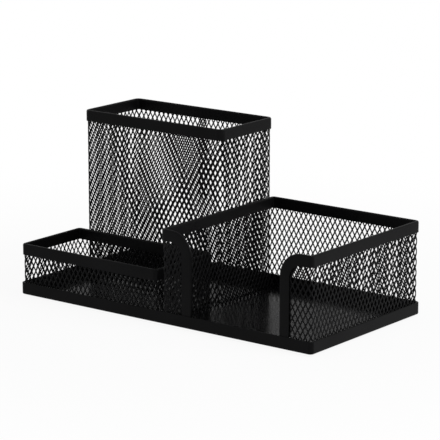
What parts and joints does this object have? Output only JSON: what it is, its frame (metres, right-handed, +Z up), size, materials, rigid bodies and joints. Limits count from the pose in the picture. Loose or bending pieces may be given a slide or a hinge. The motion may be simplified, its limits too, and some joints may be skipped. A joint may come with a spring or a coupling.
{
  "type": "mesh desk organizer",
  "caption": "Black steel-mesh desk organizer: tall pen cup, low clip tray and notched memo bin on a shared lipped base pan, edges bound by folded strips.",
  "frame": {"origin": "on the surface that the organizer stands on, below the middle of the base pan", "axes": "+X from left to right as seen from the front, +Y from the notched front to the back, +Z up"},
  "size_m": [0.205, 0.104, 0.1008],
  "materials": {
    "pan_coat": "satin black powder coat on sheet steel",
    "mesh_coat": "satin black powder coat on expanded steel mesh",
    "strip_coat": "satin black powder coat on folded steel strip",
    "foot_rubber": "matt black rubber pad"
  },
  "bodies": {
    "root": {"base_pan": "pan_coat", "pen_cup_front_mesh": "mesh_coat", "pen_cup_right_mesh": "mesh_coat", "pen_cup_back_mesh": "mesh_coat", "pen_cup_left_mesh": "mesh_coat", "pen_cup_rim": "strip_coat", "clip_tray_front_mesh": "mesh_coat", "clip_tray_right_mesh": "mesh_coat", "clip_tray_back_mesh": "mesh_coat", "clip_tray_left_mesh": "mesh_coat", "clip_tray_rim": "strip_coat", "memo_bin_right_mesh": "mesh_coat", "memo_bin_back_mesh": "mesh_coat", "memo_bin_left_mesh": "mesh_coat", "memo_bin_front_left_mesh": "mesh_coat", "memo_bin_front_right_mesh": "mesh_coat", "memo_bin_left_notch_edging": "strip_coat", "memo_bin_right_notch_edging": "strip_coat", "memo_bin_rim": "strip_coat", "foot_front_left": "foot_rubber", "foot_front_right": "foot_rubber", "foot_back_left": "foot_rubber", "foot_back_right": "foot_rubber"}
  },
  "joints": []
}
